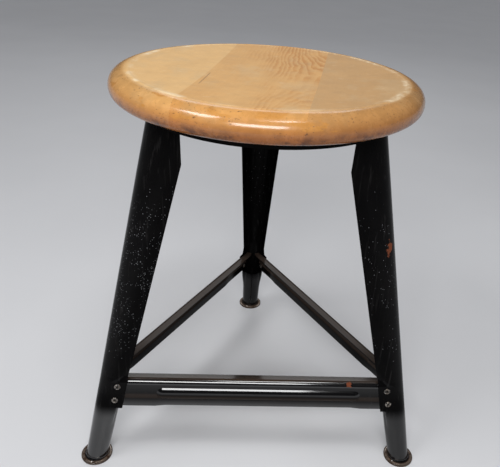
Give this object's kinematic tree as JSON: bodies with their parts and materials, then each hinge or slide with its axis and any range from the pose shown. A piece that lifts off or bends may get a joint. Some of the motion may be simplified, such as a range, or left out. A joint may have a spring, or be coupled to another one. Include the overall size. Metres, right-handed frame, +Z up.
{
  "type": "workshop stool",
  "caption": "Workshop stool: a round dished wooden seat glued from boards, on splayed pressed-steel legs tied by beaded rails and fixed with hollow rivets, with flared feet.",
  "frame": {"origin": "On the floor, in the middle of the box round the whole stool. The seat's axis stands 35.9 mm in front of it.", "axes": "+Z up, +Y to the leg at the back, -Y to the front between the two front legs, +X to the right as seen from the front."},
  "size_m": [0.4326, 0.4218, 0.476],
  "materials": {
    "wood_left": "worn clear varnish, yellow-tan grain",
    "wood_middle": "worn clear varnish, orange-brown flame grain",
    "wood_right": "worn clear varnish, greyer tan grain",
    "black_enamel": "glossy black stove enamel, chipped and worn to brown and bare steel at the feet",
    "rivet_steel": "dull plated steel",
    "screw_steel": "dull plated steel"
  },
  "bodies": {
    "root": {"seat_board_left": "wood_left", "seat_board_middle": "wood_middle", "seat_board_right": "wood_right", "seat_ring": "black_enamel", "leg_back": "black_enamel", "leg_front_left": "black_enamel", "leg_front_right": "black_enamel", "rail_front": "black_enamel", "rail_back_right": "black_enamel", "rail_back_left": "black_enamel", "rivets_back_leg_right": "rivet_steel", "rivets_back_leg_left": "rivet_steel", "rivets_front_left_leg_right": "rivet_steel", "rivets_front_left_leg_left": "rivet_steel", "rivets_front_right_leg_right": "rivet_steel", "rivets_front_right_leg_left": "rivet_steel", "rivets_back_leg_top": "rivet_steel", "rivets_front_left_leg_top": "rivet_steel", "rivets_front_right_leg_top": "rivet_steel", "seat_screws_front": "screw_steel", "seat_screws_back_right": "screw_steel", "seat_screws_back_left": "screw_steel"}
  },
  "joints": []
}
